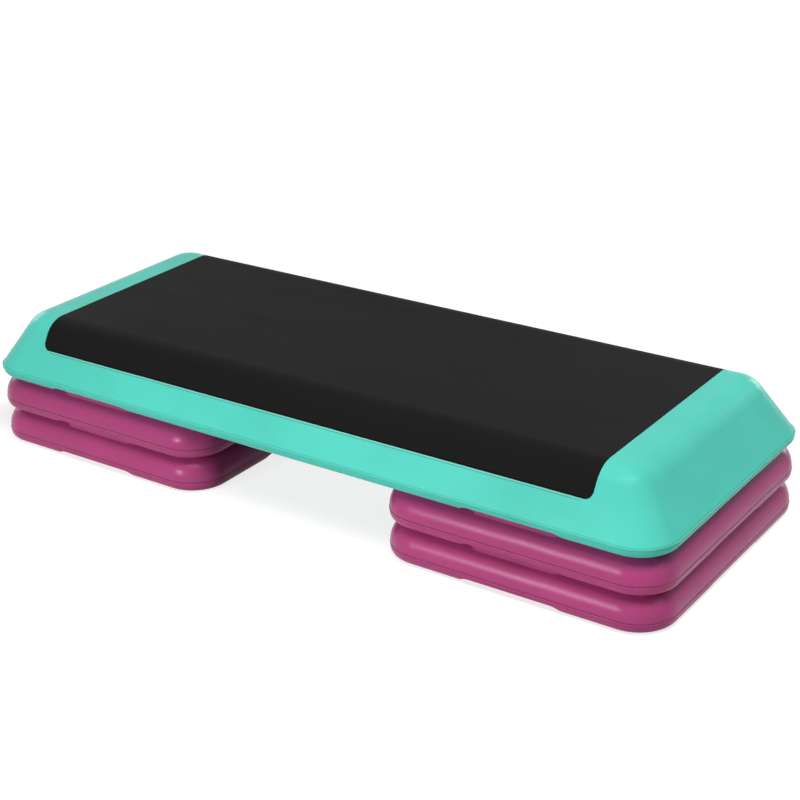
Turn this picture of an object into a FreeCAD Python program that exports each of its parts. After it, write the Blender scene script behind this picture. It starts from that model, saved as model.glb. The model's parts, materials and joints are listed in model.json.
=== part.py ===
import FreeCAD, Part
import math
import os
from types import SimpleNamespace

import Sketcher

# Aerobic step platform: a blow-moulded deck with a rubber tread mat, standing on two stacks of two
# stacking risers. Each riser carries a raised plinth that nests in the socket of the body above it.
# Frame: millimetres, +X along the deck, +Y to the back, +Z up, origin on the floor under the middle.

driving_sizes = {
    # Deck moulding: outline at the mould seam, band below the seam, sloping sides above it
    "deck_length": 1090,
    "deck_width": 436,
    "deck_corner_radius": 54,
    "deck_band": 14,
    "deck_rise": 76,
    "deck_side_lean": 29,
    "deck_end_lean": 34,
    "deck_top_corner_radius": 34,
    "deck_shoulder_radius": 38,
    "deck_rim_radius": 11,
    # Panel between the two sockets on the deck's underside
    "panel_length": 250,
    "panel_corner_radius": 24,
    # Tread mat, laid in a recess of the deck
    "mat_length": 890,
    "mat_drop": 38,
    "mat_thickness": 2,
    "mat_corner_radius": 10,
    "mat_glue_gap": 0.2,
    "mat_edge_gap": 0.6,
    # Riser moulding: outline at the mould seam, set back from the deck's long sides, and height gained
    "riser_length": 400,
    "riser_setback": 2,
    "riser_corner_radius": 54,
    "riser_pitch": 50,
    "riser_seam_height": 13,
    "riser_shoulder_radius": 33,
    "riser_rim_radius": 9,
    # Raised line that the two mould halves leave round each moulding
    "seam_height": 1.2,
    "seam_proud": 0.5,
    # Plinth on each riser and the socket that nests over it
    "plinth_inset": 14,
    "plinth_corner_cut": 126,
    "plinth_corner_radius": 20,
    "plinth_edge_radius": 3,
    "socket_depth": 8,
    "nest_side_gap": 1,
    "nest_top_gap": 0.5,
    # Finger relief in the middle of each lower rim
    "relief_length": 115,
    "relief_ramp": 34,
    "relief_height": 7,
    # Tack-off cups that tie the lower wall to the upper wall
    "cup_mouth_radius": 21,
    "cup_floor_radius": 9,
    "cup_cover": 6,
    "cup_pitch_x": 130,
    "cup_pitch_y": 140,
    # Rubber feet pressed into seats in the lower rims
    "foot_radius": 11,
    "foot_height": 4,
    "foot_proud": 1.5,
    "foot_edge_radius": 1,
    "foot_seat_gap": 0.3,
    "foot_inset": 58,
}

cup_columns = (-0.5, 0.5)
cup_rows = (-0.5, 0.5)
panel_cup_rows = (-1, 0, 1)
sides = {"left": -1, "right": 1}
levels = {"lower": 0, "upper": 1}
corners = {
    "front_left": (-1, -1),
    "front_right": (1, -1),
    "back_left": (-1, 1),
    "back_right": (1, 1),
}
same_place = 1e-4
corner_cut_angle = 45


class Size:
    """A size as a number, with the expression that ties it to the sheet."""

    def __init__(self, value, text):
        self.value = value
        self.text = text

    def join(self, other, sign, value):
        return Size(value, f"({self.text} {sign} {other.text})")

    def __add__(self, other):
        other = as_size(other)
        return self.join(other, "+", self.value + other.value)

    def __sub__(self, other):
        other = as_size(other)
        return self.join(other, "-", self.value - other.value)

    def __mul__(self, other):
        other = as_size(other)
        return self.join(other, "*", self.value * other.value)

    def __truediv__(self, other):
        other = as_size(other)
        return self.join(other, "/", self.value / other.value)

    def __neg__(self):
        return Size(-self.value, f"(-1 * {self.text})")

    def tangent(self):
        return Size(math.tan(math.radians(self.value)), f"tan({self.text})")

    def cosine(self):
        return Size(math.cos(math.radians(self.value)), f"cos({self.text})")


def as_size(number):
    """A plain number as a size."""
    if isinstance(number, Size):
        return number
    return Size(number, f"({number})")


zero = as_size(0)

doc = FreeCAD.newDocument("aerobic_step_platform")
sheet = doc.addObject("Spreadsheet::Sheet", "Sizes")
size = SimpleNamespace()
for row, (name, number) in enumerate(driving_sizes.items(), start=1):
    sheet.set(f"A{row}", name)
    sheet.set(f"B{row}", str(number))
    sheet.setAlias(f"B{row}", name)
    setattr(size, name, Size(number, f"Sizes.{name}"))
doc.recompute()

# Levels and places that several pieces share
riser_offset = (size.deck_length - size.riser_length) / 2
riser_width = size.deck_width - size.riser_setback * 2
riser_top = size.riser_pitch - size.foot_proud
plinth_top = size.riser_pitch + size.socket_depth - size.nest_top_gap
deck_level = size.riser_pitch * 2 + size.foot_proud
deck_top = size.deck_band + size.deck_rise
foot_seat_depth = size.foot_height - size.foot_proud
foot_x = size.riser_length / 2 - size.foot_inset
foot_y = riser_width / 2 - size.foot_inset


def new_body(label):
    """An empty body named after its piece."""
    body = doc.addObject("PartDesign::Body", label)
    body.Label = label
    return body


def place(body, x, y, z):
    """Set a body's place in the frame from the sheet."""
    for axis, distance in zip("xyz", (x, y, z)):
        body.setExpression(f"Placement.Base.{axis}", as_size(distance).text)


def attach(feature, body, role, offset):
    """Lay a sketch or a primitive on one of its body's origin planes, moved by an offset."""
    feature.AttachmentSupport = [(next(p for p in body.Origin.OriginFeatures if p.Role == role), "")]
    feature.MapMode = "FlatFace"
    for axis, distance in zip("xyz", offset):
        feature.setExpression(f"AttachmentOffset.Base.{axis}", as_size(distance).text)


def new_sketch(body, name, role="XY_Plane", height=0):
    """An empty sketch on an origin plane, lifted by a height along the plane's normal."""
    sketch = body.newObject("Sketcher::SketchObject", name)
    attach(sketch, body, role, (0, 0, height))
    return sketch


def drive(sketch, constraint, amount):
    """Add a dimension to a sketch and bind it to the sheet."""
    index = sketch.addConstraint(constraint)
    sketch.setExpression(f"Constraints[{index}]", amount.text)


def arc_between(start, end, radius):
    """The arc of under a half turn from start to end, its centre to the left for a positive radius."""
    chord = end - start
    across = FreeCAD.Vector(-chord.y, chord.x, 0).normalize()
    reach = math.sqrt(radius ** 2 - (chord.Length / 2) ** 2)
    centre = (start + end) / 2 + across * math.copysign(reach, radius)
    first, last = (start, end) if radius > 0 else (end, start)
    turn = [math.atan2(p.y - centre.y, p.x - centre.x) for p in (first, last)]
    circle = Part.Circle(centre, FreeCAD.Vector(0, 0, 1), abs(radius))
    return Part.ArcOfCircle(circle, turn[0], turn[1])


def outline(sketch, points, arcs=None):
    """A closed outline through points; arcs gives the radius of each edge that is round.

    A positive radius has its centre to the left of the edge, a negative one to the right.
    """
    arcs = arcs or {}
    corner = [FreeCAD.Vector(x.value, y.value, 0) for x, y in points]
    edges = []
    for index, start in enumerate(corner):
        end = corner[(index + 1) % len(corner)]
        if index in arcs:
            edges.append(sketch.addGeometry(arc_between(start, end, arcs[index].value)))
        else:
            edges.append(sketch.addGeometry(Part.LineSegment(start, end)))
    turned = [index in arcs and arcs[index].value < 0 for index in range(len(points))]
    head = [2 if back else 1 for back in turned]
    tail = [1 if back else 2 for back in turned]
    for index, edge in enumerate(edges):
        following = (index + 1) % len(edges)
        sketch.addConstraint(
            Sketcher.Constraint("Coincident", edge, tail[index], edges[following], head[following]))
    for index, (x, y) in enumerate(points):
        ends = (-1, 1, edges[index], head[index])
        drive(sketch, Sketcher.Constraint("DistanceX", *ends, x.value), x)
        drive(sketch, Sketcher.Constraint("DistanceY", *ends, y.value), y)
    for index, radius in arcs.items():
        length = radius if radius.value > 0 else -radius
        drive(sketch, Sketcher.Constraint("Radius", edges[index], length.value), length)


def rounded_rectangle(sketch, half_x, half_y, radius):
    """A rectangle about the origin with round corners, counter-clockwise from its front edge."""
    in_x = half_x - radius
    in_y = half_y - radius
    points = [
        (-in_x, -half_y), (in_x, -half_y),
        (half_x, -in_y), (half_x, in_y),
        (in_x, half_y), (-in_x, half_y),
        (-half_x, in_y), (-half_x, -in_y),
    ]
    outline(sketch, points, {1: radius, 3: radius, 5: radius, 7: radius})


def cut_rectangle(sketch, centre_x, half_x, half_y, cut, radius):
    """A rectangle about a centre on the X axis, its corners cut at 45 degrees and then rounded."""
    along = radius * as_size(corner_cut_angle / 2).tangent()
    slant = along * as_size(corner_cut_angle).cosine()
    corner = [
        (half_x - cut - along, half_y),
        (half_x - cut + slant, half_y - slant),
        (half_x - slant, half_y - cut + slant),
        (half_x, half_y - cut - along),
    ]
    points = []
    for across, back in ((1, -1), (1, 1), (-1, 1), (-1, -1)):
        turn = corner if across != back else corner[::-1]
        points += [(centre_x + x * across, y * back) for x, y in turn]
    outline(sketch, points, {index: radius for index in range(0, len(points), 2)})


def relief_profile(sketch, centre):
    """The finger relief seen from outside: a flat roof between two S-shaped ramps.

    Each ramp is two equal arcs that meet midway. It starts one roof height below the rim.
    """
    height = size.relief_height
    ramp = size.relief_ramp
    radius = (ramp * ramp / 4 + height * height) / (height * 2)
    roof = size.relief_length / 2
    points = [
        (centre - roof - ramp, -height), (centre + roof + ramp, -height),
        (centre + roof + ramp / 2, zero), (centre + roof, height),
        (centre - roof, height), (centre - roof - ramp / 2, zero),
    ]
    outline(sketch, points, {1: -radius, 2: radius, 4: radius, 5: -radius})


def circles(sketch, centres, radius):
    """Equal circles at the given centres."""
    for x, y in centres:
        middle = FreeCAD.Vector(x.value, y.value, 0)
        ring = sketch.addGeometry(Part.Circle(middle, FreeCAD.Vector(0, 0, 1), radius.value))
        drive(sketch, Sketcher.Constraint("DistanceX", -1, 1, ring, 3, x.value), x)
        drive(sketch, Sketcher.Constraint("DistanceY", -1, 1, ring, 3, y.value), y)
        drive(sketch, Sketcher.Constraint("Radius", ring, radius.value), radius)


def extrude(body, kind, sketch, length, side="One side", backwards=False):
    """A pad or a pocket of a sketch."""
    feature = body.newObject(f"PartDesign::{kind}", f"{sketch.Name}_{kind.lower()}")
    feature.Profile = sketch
    feature.SideType = side
    feature.Reversed = backwards
    feature.setExpression("Length", length.text)
    return feature


def cut_pocket(body, sketch, length, side="One side", backwards=False):
    """A pocket that has to take material away."""
    doc.recompute()
    before = body.Shape.Volume
    feature = extrude(body, "Pocket", sketch, length, side, backwards)
    doc.recompute()
    if not body.Shape.Volume < before:
        raise RuntimeError(f"{sketch.Name} cuts nothing")
    return feature


def round_edges(body, name, radius, wanted):
    """Round those edges of the body's last feature that the test picks."""
    doc.recompute()
    base = body.Tip
    picked = [f"Edge{index}" for index, edge in enumerate(base.Shape.Edges, start=1) if wanted(edge)]
    feature = body.newObject("PartDesign::Fillet", name)
    feature.Base = (base, picked)
    feature.setExpression("Radius", radius.text)
    doc.recompute()
    return feature


def lies_at(height):
    """A test for edges that lie flat at a height of the body's own frame."""
    def wanted(edge):
        box = edge.BoundBox
        return abs(box.ZMin - height.value) < same_place and abs(box.ZMax - height.value) < same_place
    return wanted


def add_seam(body, half_x, half_y, radius, height):
    """The mould seam: a low raised line round the widest outline."""
    sketch = new_sketch(body, f"{body.Name}_seam", height=height)
    rounded_rectangle(sketch, half_x + size.seam_proud, half_y + size.seam_proud, radius + size.seam_proud)
    extrude(body, "Pad", sketch, size.seam_height, "Symmetric")


def add_socket(body, name, centre_x):
    """The socket that nests over a riser's plinth, open downwards at the rim."""
    sketch = new_sketch(body, name)
    half_x = size.riser_length / 2 - size.plinth_inset + size.nest_side_gap
    half_y = riser_width / 2 - size.plinth_inset + size.nest_side_gap
    cut_rectangle(sketch, centre_x, half_x, half_y, size.plinth_corner_cut, size.plinth_corner_radius)
    cut_pocket(body, sketch, size.socket_depth, backwards=True)


def add_cups(body, name, centre_x, columns, rows, top):
    """Tack-off cups: round tapered pockets that reach from the underside up to the upper wall."""
    for column in columns:
        for row in rows:
            cup = body.newObject("PartDesign::SubtractiveCone", f"{name}_cup")
            attach(cup, body, "XY_Plane",
                   (size.cup_pitch_x * column + centre_x, size.cup_pitch_y * row, size.socket_depth))
            cup.setExpression("Radius1", size.cup_mouth_radius.text)
            cup.setExpression("Radius2", size.cup_floor_radius.text)
            cup.setExpression("Height", (top - size.socket_depth - size.cup_cover).text)


def add_foot_seats(body, half_x, half_y):
    """Round seats for the rubber feet, one at each corner of the rim."""
    sketch = new_sketch(body, f"{body.Name}_foot_seats")
    centres = [(half_x * across, half_y * back) for across, back in corners.values()]
    circles(sketch, centres, size.foot_radius + size.foot_seat_gap)
    cut_pocket(body, sketch, foot_seat_depth, backwards=True)


def make_riser(label, centre_x, level):
    """A stacking riser: pillow-sided block, plinth on top, socket, reliefs, cups and foot seats below."""
    body = new_body(label)
    half_x = size.riser_length / 2
    half_y = riser_width / 2
    block = new_sketch(body, f"{label}_block")
    rounded_rectangle(block, half_x, half_y, size.riser_corner_radius)
    extrude(body, "Pad", block, riser_top)
    round_edges(body, f"{label}_shoulder", size.riser_shoulder_radius, lies_at(riser_top))
    round_edges(body, f"{label}_rim", size.riser_rim_radius, lies_at(zero))
    add_seam(body, half_x, half_y, size.riser_corner_radius, size.riser_seam_height)
    plinth = new_sketch(body, f"{label}_plinth", height=riser_top / 2)
    cut_rectangle(plinth, zero, half_x - size.plinth_inset, half_y - size.plinth_inset,
                  size.plinth_corner_cut, size.plinth_corner_radius)
    extrude(body, "Pad", plinth, plinth_top - riser_top / 2)
    round_edges(body, f"{label}_plinth_edge", size.plinth_edge_radius, lies_at(plinth_top))
    add_socket(body, f"{label}_socket", zero)
    front = new_sketch(body, f"{label}_long_reliefs", "XZ_Plane")
    relief_profile(front, zero)
    cut_pocket(body, front, riser_width * 2, "Symmetric")
    end = new_sketch(body, f"{label}_end_reliefs", "YZ_Plane")
    relief_profile(end, zero)
    cut_pocket(body, end, size.riser_length * 2, "Symmetric")
    add_foot_seats(body, foot_x, foot_y)
    add_cups(body, label, zero, cup_columns, cup_rows, plinth_top)
    place(body, centre_x, 0, level)
    return body


def make_foot(label, x, y, level):
    """A rubber foot: a disc with a rounded lower edge."""
    body = new_body(label)
    disc = body.newObject("PartDesign::AdditiveCylinder", f"{label}_disc")
    attach(disc, body, "XY_Plane", (0, 0, -size.foot_proud))
    disc.setExpression("Radius", size.foot_radius.text)
    disc.setExpression("Height", size.foot_height.text)
    round_edges(body, f"{label}_edge", size.foot_edge_radius, lies_at(-size.foot_proud))
    place(body, x, y, level)
    return body


def side_at(drop, outset):
    """Half the deck's width at a drop below its top, with its sides moved out by an outset."""
    run = (size.deck_rise - drop) * size.deck_side_lean.tangent()
    return size.deck_width / 2 - run + outset / size.deck_side_lean.cosine()


def sheet_section(sketch, outset, drop):
    """The deck's cross-section above a drop below its top, with sharp shoulders, moved out by an outset."""
    top = deck_top + outset
    low = deck_top - drop
    outline(sketch, [
        (-side_at(drop, outset), low), (side_at(drop, outset), low),
        (side_at(-outset, outset), top), (-side_at(-outset, outset), top),
    ])


def runs_along(height):
    """A test for straight edges along the deck at a height."""
    flat = lies_at(height)

    def wanted(edge):
        return flat(edge) and edge.BoundBox.YLength < same_place
    return wanted


def make_sheet(label, outset, thickness, length, drop, corner_radius):
    """A sheet bent over the deck's top and long shoulders, its outer face moved out by an outset.

    The bent strip is a little too large, and a block with rounded lower corners trims it to its size.
    """
    strip = new_body(f"{label}_strip")
    inset = outset - thickness
    outer = new_sketch(strip, f"{label}_outer", "YZ_Plane")
    sheet_section(outer, outset, drop + thickness)
    extrude(strip, "Pad", outer, length + thickness * 2, "Symmetric")
    inner = new_sketch(strip, f"{label}_inner", "YZ_Plane")
    sheet_section(inner, inset, drop + thickness * 2)
    cut_pocket(strip, inner, length * 2, "Symmetric")
    round_edges(strip, f"{label}_shoulders", size.deck_shoulder_radius + outset,
                runs_along(deck_top + outset))
    round_edges(strip, f"{label}_inner_shoulders", size.deck_shoulder_radius + inset,
                runs_along(deck_top + inset))
    trim = new_body(f"{label}_trim")
    face = new_sketch(trim, f"{label}_face", "XZ_Plane")
    half = length / 2
    low = deck_top - drop
    high = deck_top + thickness * 2
    outline(face, [
        (-half + corner_radius, low), (half - corner_radius, low),
        (half, low + corner_radius), (half, high),
        (-half, high), (-half, low + corner_radius),
    ], {1: corner_radius, 5: corner_radius})
    extrude(trim, "Pad", face, size.deck_width, "Symmetric")
    piece = doc.addObject("Part::Common", label)
    piece.Base = strip
    piece.Tool = trim
    piece.Label = label
    return piece


def make_deck():
    """The deck: band below the seam, sloping sides, round shoulders, underside and mat recess."""
    body = new_body("deck_moulding")
    half_x = size.deck_length / 2
    half_y = size.deck_width / 2
    seam = new_sketch(body, "deck_seam_outline", height=size.deck_band)
    rounded_rectangle(seam, half_x, half_y, size.deck_corner_radius)
    top = new_sketch(body, "deck_top_outline", height=deck_top)
    rounded_rectangle(top, half_x - size.deck_rise * size.deck_end_lean.tangent(),
                      half_y - size.deck_rise * size.deck_side_lean.tangent(), size.deck_top_corner_radius)
    extrude(body, "Pad", seam, size.deck_band, backwards=True)
    slopes = body.newObject("PartDesign::AdditiveLoft", "deck_slopes")
    slopes.Profile = seam
    slopes.Sections = [top]
    slopes.Ruled = True
    round_edges(body, "deck_shoulder", size.deck_shoulder_radius, lies_at(deck_top))
    round_edges(body, "deck_rim", size.deck_rim_radius, lies_at(zero))
    add_seam(body, half_x, half_y, size.deck_corner_radius, size.deck_band)
    for side, sign in sides.items():
        add_socket(body, f"deck_{side}_socket", riser_offset * sign)
        relief = new_sketch(body, f"deck_{side}_long_reliefs", "XZ_Plane")
        relief_profile(relief, riser_offset * sign)
        cut_pocket(body, relief, size.deck_width * 2, "Symmetric")
        end = new_sketch(body, f"deck_{side}_end_relief", "YZ_Plane", half_x * sign)
        relief_profile(end, zero)
        cut_pocket(body, end, size.plinth_inset * 2, backwards=sign < 0)
        add_cups(body, f"deck_{side}", riser_offset * sign, cup_columns, cup_rows, deck_top)
    panel = new_sketch(body, "deck_panel")
    rounded_rectangle(panel, size.panel_length / 2, half_y - size.plinth_inset, size.panel_corner_radius)
    cut_pocket(body, panel, size.socket_depth, backwards=True)
    add_cups(body, "deck_panel", zero, cup_columns, panel_cup_rows, deck_top)
    add_foot_seats(body, riser_offset + foot_x, foot_y)
    recess = make_sheet(
        "mat_recess", size.mat_thickness, size.mat_thickness * 2 + size.mat_glue_gap,
        size.mat_length + size.mat_edge_gap * 2, size.mat_drop + size.mat_edge_gap,
        size.mat_corner_radius + size.mat_edge_gap)
    deck = doc.addObject("Part::Cut", "deck_shell")
    deck.Base = body
    deck.Tool = recess
    deck.Label = "deck_shell"
    deck.setExpression("Placement.Base.z", deck_level.text)
    return deck


nodes = [make_deck()]
mat = make_sheet("top_mat", zero, size.mat_thickness, size.mat_length,
                 size.mat_drop, size.mat_corner_radius)
place(mat, 0, 0, deck_level)
nodes.append(mat)
for corner_name, (across, back) in corners.items():
    nodes.append(make_foot(
        f"deck_foot_{corner_name}", (riser_offset + foot_x) * across, foot_y * back, deck_level))
for side, sign in sides.items():
    for tier, count in levels.items():
        level = size.riser_pitch * count + size.foot_proud
        nodes.append(make_riser(f"{side}_{tier}_riser", riser_offset * sign, level))
        for corner_name, (across, back) in corners.items():
            nodes.append(make_foot(
                f"{side}_{tier}_foot_{corner_name}",
                riser_offset * sign + foot_x * across, foot_y * back, level))
doc.recompute()

failed = [item.Name for item in doc.Objects if {"Invalid", "Error"} & set(item.State)]
if failed:
    raise RuntimeError(f"not built: {failed}")
for node in nodes:
    if node.Shape.isNull() or not node.Shape.isValid() or len(node.Shape.Solids) != 1:
        raise RuntimeError(f"not a sound solid: {node.Label}")
os.makedirs("parts", exist_ok=True)
for node in nodes:
    node.Shape.exportStep(f"parts/{node.Label}.step")
    box = node.Shape.BoundBox
    print(f"{node.Label}: {node.Shape.Volume / 1000:.1f} cm3, z {box.ZMin:.2f} to {box.ZMax:.2f}")
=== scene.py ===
import json
import math

import bpy
from mathutils import Matrix, Vector


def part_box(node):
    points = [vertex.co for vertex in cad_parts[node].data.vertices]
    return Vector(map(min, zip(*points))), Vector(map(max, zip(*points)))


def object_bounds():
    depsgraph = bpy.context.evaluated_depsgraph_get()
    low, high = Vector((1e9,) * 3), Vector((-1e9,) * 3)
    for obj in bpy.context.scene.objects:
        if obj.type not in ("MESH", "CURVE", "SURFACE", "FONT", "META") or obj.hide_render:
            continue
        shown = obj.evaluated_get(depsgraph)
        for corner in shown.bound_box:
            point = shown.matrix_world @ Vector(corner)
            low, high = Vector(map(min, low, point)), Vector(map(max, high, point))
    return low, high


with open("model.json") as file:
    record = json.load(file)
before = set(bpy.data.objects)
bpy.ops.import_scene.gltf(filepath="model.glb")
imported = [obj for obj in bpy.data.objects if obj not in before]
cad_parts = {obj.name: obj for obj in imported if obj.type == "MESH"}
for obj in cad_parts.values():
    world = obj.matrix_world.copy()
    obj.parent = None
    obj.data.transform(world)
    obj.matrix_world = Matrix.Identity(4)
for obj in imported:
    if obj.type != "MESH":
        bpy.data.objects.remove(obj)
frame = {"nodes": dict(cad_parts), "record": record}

# Looks of an aerobic step platform: grained turquoise deck, black tread mat, plum risers, rubber feet.
# Metres, in the frame of the solids: +X along the deck, +Y to the back, +Z up, floor at 0.

cad_low, cad_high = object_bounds()

# Heights on the mouldings, from the solids: the lowest rim, the step from rim to rim and the deck's rim
lowest_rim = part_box("left_lower_riser")[0].z
riser_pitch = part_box("left_upper_riser")[0].z - lowest_rim
deck_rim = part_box("deck_shell")[0].z
no_repeat = 1.0

# The mat's lower edge and its end, from the solids, and the radius of its corners
mat_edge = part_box("top_mat")[0].z
mat_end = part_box("top_mat")[1].x
mat_corner = 0.01

# The seams' heights above their rims, the width of a seam's bead and the height of the scuffs on a rim
riser_seam = 0.013
deck_seam = 0.014
bead_width = 0.0012
scuff_height = 0.004

# Painted lines under the mat's long edges: how far the painted highlight line and the painted shadow line of
# its lip lie below the edge, and their width
lip_highlight_drop = 0.0008
lip_shadow_drop = 0.0026
lip_width = 0.001

# Depths of the mouldings' waves and grain, of the mat's and the feet's grain, and the height of the painted
# shade along the mat's lower edge
wave_depth = 0.0012
moulded_grain = 0.00008
tread_grain = 0.00015
foot_grain = 0.00005
edge_shade_height = 0.0025

# How much closer the smudges on the mat lie along each axis
smudge_squeeze = (1.0, 2.6, 1.0)

# Colours, as shares of red, green and blue
turquoise = (0.106, 0.69, 0.566)
plum = (0.455, 0.058, 0.208)
tread_black = (0.006, 0.006, 0.0066)
smudged_black = (0.0086, 0.0086, 0.0086)
lint_grey = (0.03, 0.03, 0.029)
# Painted shade along the mat's lower edge
edge_shade_black = (0.001, 0.001, 0.001)
foot_black = (0.012, 0.012, 0.012)
dust_grey = (0.035, 0.033, 0.031)
white = (1.0, 1.0, 1.0)
black = (0.0, 0.0, 0.0)

# The floor: its reach, the shares of light that it gives back under and beside the step, and the light on it
floor_reach = 30.0
share_under = 0.35
share_beside = 0.8
floor_light = 0.6

# Distances beside the step over which the floor turns from the one share to the other, and then to none
turn_from, turn_to = -0.03, 0.05
fade_from, fade_to = 0.1, 0.6

# Light of the room, and the lamps' distance from the point that they face
room_light = 0.03
lamp_distance = 2.6
lamp_target = (0.0, 0.0, 0.1)

# Camera, read from the photograph
camera_azimuth = 34.93
camera_elevation = 23.75
camera_roll = -1.21
camera_distance = 2.3723
camera_target = (0.0228, 0.0245, 0.1)
camera_lens = 76.13
sensor_width = 36.0

# The sockets of a Mix node that hold colours
mix_first, mix_second, mix_result = 6, 7, 2


class Shade:
    """A socket of a material's node tree. Sums on it add Math nodes to the tree."""

    def __init__(self, tree, socket=None):
        self.tree = tree
        self.socket = socket

    def node(self, kind, settings=None, inputs=None, output=0):
        """Add a node: its settings first, then the values or links of its sockets, by name or by place."""
        made = self.tree.nodes.new(kind)
        for name, value in (settings or {}).items():
            setattr(made, name, value)
        for name, value in (inputs or {}).items():
            if isinstance(value, Shade):
                self.tree.links.new(value.socket, made.inputs[name])
            else:
                made.inputs[name].default_value = value
        return Shade(self.tree, made.outputs[output] if made.outputs else None)

    def maths(self, operation, first, second=0.0):
        return self.node("ShaderNodeMath", {"operation": operation}, {0: first, 1: second})

    def __add__(self, other):
        return self.maths("ADD", self, other)

    def __radd__(self, other):
        return self.maths("ADD", other, self)

    def __sub__(self, other):
        return self.maths("SUBTRACT", self, other)

    def __rsub__(self, other):
        return self.maths("SUBTRACT", other, self)

    def __mul__(self, other):
        return self.maths("MULTIPLY", self, other)

    def __rmul__(self, other):
        return self.maths("MULTIPLY", other, self)

    def __mod__(self, other):
        return self.maths("MODULO", self, other)

    def __or__(self, other):
        return self.maths("MAXIMUM", self, other)

    def __abs__(self):
        return self.maths("ABSOLUTE", self)

    def smooth(self, low, high):
        """0 at low, 1 at high, and a smooth step between them; low may be the larger of the two."""
        return self.node("ShaderNodeMapRange", {"interpolation_type": "SMOOTHSTEP"},
                         {"Value": self, "From Min": low, "From Max": high})

    def line(self, middle, width):
        """1 where this value is at the middle, fading to 0 a width away from it."""
        return abs(self - middle).smooth(width, 0.0)

    def mixed(self, first, second):
        """A colour between two colours, by this value."""
        return self.node("ShaderNodeMix", {"data_type": "RGBA"},
                         {0: self, mix_first: rgba(first), mix_second: rgba(second)}, mix_result)

    def bumped(self, depth, below=None):
        """A normal from this height, given in metres, on top of the normal below."""
        inputs = {"Height": self, "Distance": depth}
        if below is not None:
            inputs["Normal"] = below
        return self.node("ShaderNodeBump", None, inputs)

    def place(self):
        """The place on the object, in metres."""
        return self.node("ShaderNodeTexCoord", output="Object")

    def axis(self, name):
        """One coordinate of this place."""
        return self.node("ShaderNodeSeparateXYZ", None, {"Vector": self}, name)


def rgba(colour):
    """A colour as a socket takes it: a link as it is, and shares with a full alpha."""
    return colour if isinstance(colour, Shade) else (*colour, 1.0)


def new_material(name):
    """An empty material and the start of its node tree."""
    material = bpy.data.materials.new(name)
    material.use_nodes = True
    material.node_tree.nodes.clear()
    return material, Shade(material.node_tree)


def surface(start, settings):
    """The principled surface of a material, linked to its output."""
    shader = start.node("ShaderNodeBsdfPrincipled", None, settings)
    start.node("ShaderNodeOutputMaterial", None, {"Surface": shader})


def noise(place, per_metre, detail=2.0, roughness=0.5):
    """A soft noise between 0 and 1 with this many waves in a metre."""
    return place.node("ShaderNodeTexNoise", None,
                      {"Vector": place, "Scale": per_metre, "Detail": detail, "Roughness": roughness})


def pebbles(place, per_metre):
    """Soft round grains, this many in a metre: 0 in their middles and higher between them."""
    return place.node("ShaderNodeTexVoronoi", {"feature": "SMOOTH_F1"},
                      {"Vector": place, "Scale": per_metre, "Smoothness": 0.6})


def moulded_plastic(name, colour, sheen, rim, repeat, seam, crease_shade_strength, lip=None):
    """Blow-moulded polyethylene: fine grain, slow waves of the wall, painted shade and highlight at the
    seam, scuffs along rim and seam.

    The height above the rim, which starts again at each repeat, places seam and scuffs. The argument after
    seam gives the strength of the painted shade line over the seam's bead, and lip the height of the mat's
    edge above the rim, under which a painted highlight line and a painted shadow line run.
    """
    material, start = new_material(name)
    place = start.place()
    height = (place.axis("Z") - rim) % repeat
    deep = tuple(0.88 * part for part in colour)
    # A dark tone for painted shade, a bright tone for a painted highlight, and a pale tone for scuffs and a
    # painted highlight
    painted_shade = tuple(0.35 * part for part in colour)
    painted_highlight = tuple(min(1.0, 1.25 * part + 0.02) for part in colour)
    scuff_and_highlight_tone = tuple(0.55 * part + 0.30 for part in colour)

    drift = noise(place, per_metre=6.0, detail=3.0).smooth(0.3, 0.7)
    # The bead's line takes scuffs and a painted highlight; the crease's line over it takes painted shade
    bead = height.line(seam, bead_width)
    crease_shade = height.line(seam + bead_width, bead_width)
    worn = noise(place, per_metre=35.0, detail=4.0, roughness=0.65).smooth(0.48, 0.66)
    specks = noise(place, per_metre=700.0).smooth(0.42, 0.62)
    scuff = worn * specks * (height.smooth(scuff_height, 0.0) | bead)

    tint = drift.mixed(deep, colour)
    # Painted shade: a dark line in the crease over the seam's bead
    tint = (crease_shade * crease_shade_strength).mixed(tint, painted_shade)
    # Painted highlight: a bright line on the seam's bead
    tint = (bead * 0.6).mixed(tint, painted_highlight)
    tint = (scuff * 0.3).mixed(tint, scuff_and_highlight_tone)
    # Painted shadow line and painted highlight line of the lip under the mat's long edges
    if lip is not None:
        along = abs(place.axis("X")).smooth(mat_end - mat_corner, mat_end - 2 * mat_corner)
        tint = (along * height.line(lip - lip_shadow_drop, lip_width) * 0.6).mixed(tint, painted_shade)
        # The pale tone also serves the scuffs, which are real wear
        tint = (along * height.line(lip - lip_highlight_drop, lip_width) * 0.6).mixed(tint, scuff_and_highlight_tone)

    waves = noise(place, per_metre=11.0, detail=1.0).bumped(wave_depth)
    surface(start, {
        "Base Color": tint,
        "Roughness": 0.225 + drift * 0.04 + scuff * 0.3,
        "Specular IOR Level": sheen,
        "Normal": pebbles(place, per_metre=900.0).bumped(moulded_grain, waves),
    })
    return material


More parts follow.
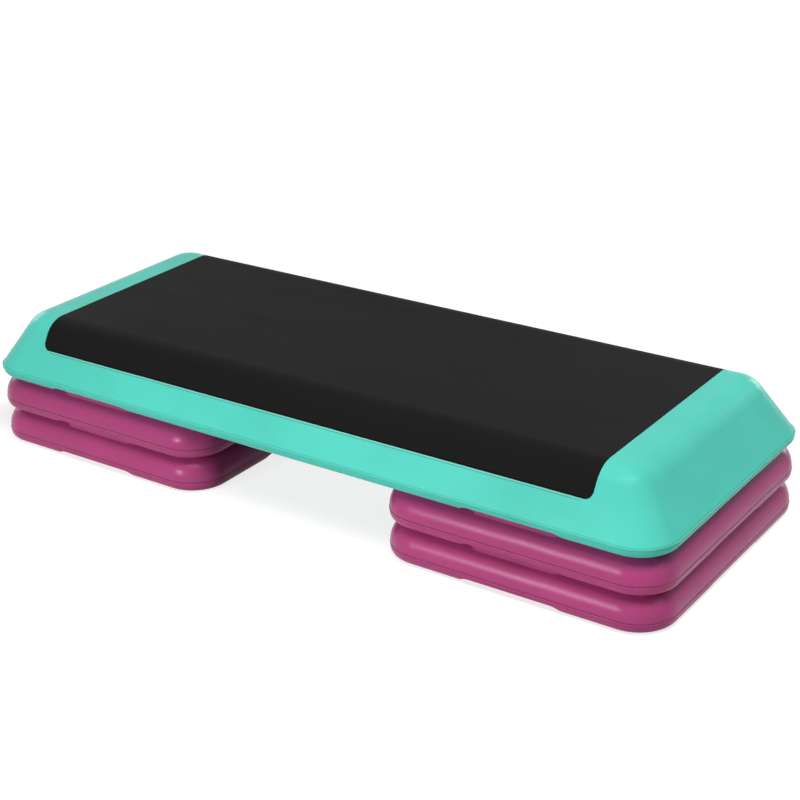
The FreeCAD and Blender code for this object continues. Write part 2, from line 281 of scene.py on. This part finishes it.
def tread_rubber():
    """Matt black rubber sheet with a pebbled face, faintly smudged by shoes, with painted shade along its
    lower edge.
    """
    material, start = new_material("tread_rubber")
    place = start.place()
    along = start.node("ShaderNodeVectorMath", {"operation": "MULTIPLY"}, {0: place, 1: smudge_squeeze})
    smudge = noise(along, per_metre=5.0, detail=4.0, roughness=0.6).smooth(0.35, 0.75)
    lint = noise(place, per_metre=420.0).smooth(0.68, 0.78)
    # Painted shade along the mat's lower edge, where it meets the recess
    edge = place.axis("Z").smooth(mat_edge + edge_shade_height, mat_edge)
    tint = smudge.mixed(tread_black, smudged_black)
    tint = (lint * 0.25).mixed(tint, lint_grey)
    surface(start, {
        "Base Color": edge.mixed(tint, edge_shade_black),
        "Roughness": 0.66 + smudge * 0.1,
        "Specular IOR Level": 0.06,
        "Normal": pebbles(place, per_metre=650.0).bumped(tread_grain),
    })
    return material


def foot_rubber():
    """Soft black rubber of the feet, grey with floor dust in places."""
    material, start = new_material("foot_rubber")
    place = start.place()
    dust = noise(place, per_metre=120.0, detail=3.0).smooth(0.4, 0.8)
    surface(start, {
        "Base Color": dust.mixed(foot_black, dust_grey),
        "Roughness": 0.7 + dust * 0.15,
        "Normal": pebbles(place, per_metre=1200.0).bumped(foot_grain),
    })
    return material


finishes = {
    "deck_plastic": moulded_plastic("deck_plastic", turquoise, sheen=0.06, rim=deck_rim, repeat=no_repeat,
                                    seam=deck_seam, crease_shade_strength=0.45, lip=mat_edge - deck_rim),
    "riser_plastic": moulded_plastic("riser_plastic", plum, sheen=0.18, rim=lowest_rim, repeat=riser_pitch,
                                     seam=riser_seam, crease_shade_strength=0.9),
    "mat_rubber": tread_rubber(),
    "foot_rubber": foot_rubber(),
}
for part in frame["record"]["subparts"]:
    node = frame["nodes"][part["node"]]
    node.data.materials.clear()
    node.data.materials.append(finishes[part["material_slot"]])


def seen_rays(start):
    """1 for rays from the camera, from a mirror or through glass, 0 for rays that only carry light."""
    camera = start.node("ShaderNodeLightPath", output="Is Camera Ray")
    glossy = start.node("ShaderNodeLightPath", output="Is Glossy Ray")
    through = start.node("ShaderNodeLightPath", output="Is Transmission Ray")
    return camera | glossy | through


def add_floor():
    """A wide floor that looks white, keeps the shadow of the step and is clear from below.

    It gives back most light beside the step, less under it and none far away, and shines by the rest.
    """
    mesh = bpy.data.meshes.new("floor")
    corners = [(-floor_reach, -floor_reach, 0), (floor_reach, -floor_reach, 0),
               (floor_reach, floor_reach, 0), (-floor_reach, floor_reach, 0)]
    mesh.from_pydata(corners, [], [(0, 1, 2, 3)])
    floor = bpy.data.objects.new("floor", mesh)
    bpy.context.collection.objects.link(floor)
    material, start = new_material("floor_white")
    place = start.place()
    beside = (abs(place.axis("X")) - cad_high.x) | (abs(place.axis("Y")) - cad_high.y)
    near = share_under + beside.smooth(turn_from, turn_to) * (share_beside - share_under)
    share = near * (1 - beside.smooth(fade_from, fade_to))
    surface(start, {
        "Base Color": share.mixed(black, white),
        "Roughness": 0.9,
        "Specular IOR Level": 0.0,
        "Emission Color": seen_rays(start) * (1 - share * floor_light),
        "Emission Strength": 1.0,
        "Alpha": 1 - start.node("ShaderNodeNewGeometry", output="Backfacing"),
    })
    mesh.materials.append(material)


def add_room():
    """A room that looks white and lights the step faintly from all sides."""
    world = bpy.data.worlds.new("room")
    bpy.context.scene.world = world
    world.use_nodes = True
    world.node_tree.nodes.clear()
    start = Shade(world.node_tree)
    strength = room_light + seen_rays(start) * (1 - room_light)
    background = start.node("ShaderNodeBackground", None, {"Color": rgba(white), "Strength": strength})
    start.node("ShaderNodeOutputWorld", None, {"Surface": background})


def way_to(azimuth, elevation):
    """The unit vector to an azimuth and an elevation in degrees: 0 is in front, 90 at the right end."""
    around = math.radians(azimuth)
    above = math.radians(elevation)
    level = math.cos(above)
    return Vector((math.sin(around) * level, -math.cos(around) * level, math.sin(above)))


def add_softbox(name, azimuth, elevation, width, height, power):
    """A large soft lamp that faces the step from an azimuth and an elevation in degrees."""
    lamp = bpy.data.lights.new(name, "AREA")
    lamp.shape = "RECTANGLE"
    lamp.size = width
    lamp.size_y = height
    lamp.energy = power
    box = bpy.data.objects.new(name, lamp)
    back = way_to(azimuth, elevation)
    box.location = Vector(lamp_target) + back * lamp_distance
    box.rotation_euler = back.to_track_quat("Z", "Y").to_euler()
    bpy.context.collection.objects.link(box)


def add_camera():
    """The camera of the photograph, from its two angles, its roll and its distance."""
    back = way_to(camera_azimuth, camera_elevation)
    level = way_to(camera_azimuth + 90, 0)
    roll = math.radians(camera_roll)
    right = level * math.cos(roll) + back.cross(level) * math.sin(roll)
    up = back.cross(right)
    turn = Matrix((right, up, back)).transposed().to_4x4()
    data = bpy.data.cameras.new("camera")
    data.lens = camera_lens
    data.sensor_width = sensor_width
    camera = bpy.data.objects.new("camera", data)
    camera.matrix_world = Matrix.Translation(Vector(camera_target) + back * camera_distance) @ turn
    bpy.context.collection.objects.link(camera)
    bpy.context.scene.camera = camera


add_floor()
add_room()
add_softbox("key_softbox", azimuth=66, elevation=60, width=1.0, height=0.8, power=32)
add_softbox("fill_softbox", azimuth=20, elevation=62, width=1.0, height=0.8, power=23)
add_softbox("front_softbox", azimuth=-15, elevation=14, width=0.6, height=0.5, power=25)
add_softbox("end_softbox", azimuth=95, elevation=30, width=0.6, height=0.6, power=3)
add_softbox("back_softbox", azimuth=165, elevation=12, width=1.0, height=0.8, power=16)
add_softbox("left_softbox", azimuth=-105, elevation=14, width=1.0, height=0.8, power=8)
add_camera()
bpy.context.scene.view_settings.view_transform = "Standard"
